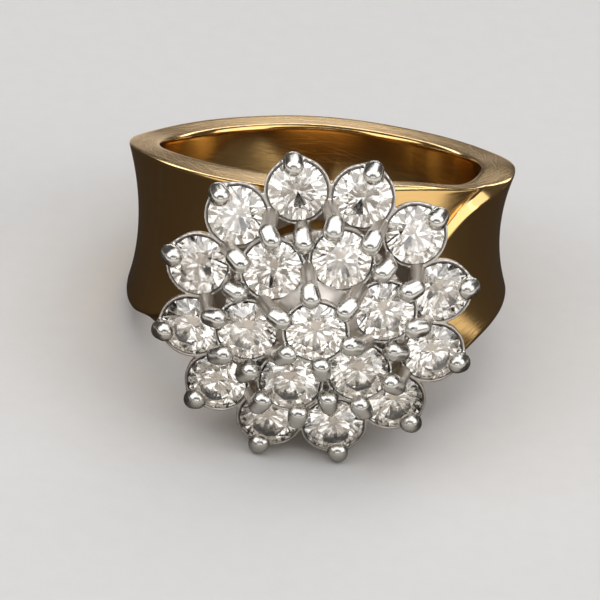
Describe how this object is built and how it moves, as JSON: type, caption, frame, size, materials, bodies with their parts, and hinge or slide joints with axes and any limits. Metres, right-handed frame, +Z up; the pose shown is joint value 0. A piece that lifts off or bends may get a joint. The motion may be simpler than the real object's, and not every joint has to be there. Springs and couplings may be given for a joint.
{
  "type": "cluster ring",
  "caption": "Wide wrapped band with an open-worked head that holds a domed cluster of round faceted stones by shared claws, lying on its side.",
  "frame": {"origin": "middle of the underside of the box around the ring as it rests", "axes": "+Z up from the floor it lies on; the cluster faces -Y and tips up a little; +X to the viewer's right"},
  "size_m": [0.0212, 0.0281, 0.0165],
  "materials": {
    "yellow_gold": "polished yellow gold",
    "white_gold": "bright plated white gold",
    "diamond": "clear faceted stone"
  },
  "bodies": {
    "root": {"band": "yellow_gold", "head": "white_gold", "stone_center": "diamond", "stone_inner_1": "diamond", "stone_inner_2": "diamond", "stone_inner_3": "diamond", "stone_inner_4": "diamond", "stone_inner_5": "diamond", "stone_inner_6": "diamond", "stone_outer_1": "diamond", "stone_outer_2": "diamond", "stone_outer_3": "diamond", "stone_outer_4": "diamond", "stone_outer_5": "diamond", "stone_outer_6": "diamond", "stone_outer_7": "diamond", "stone_outer_8": "diamond", "stone_outer_9": "diamond", "stone_outer_10": "diamond", "stone_outer_11": "diamond", "stone_outer_12": "diamond"}
  },
  "joints": []
}
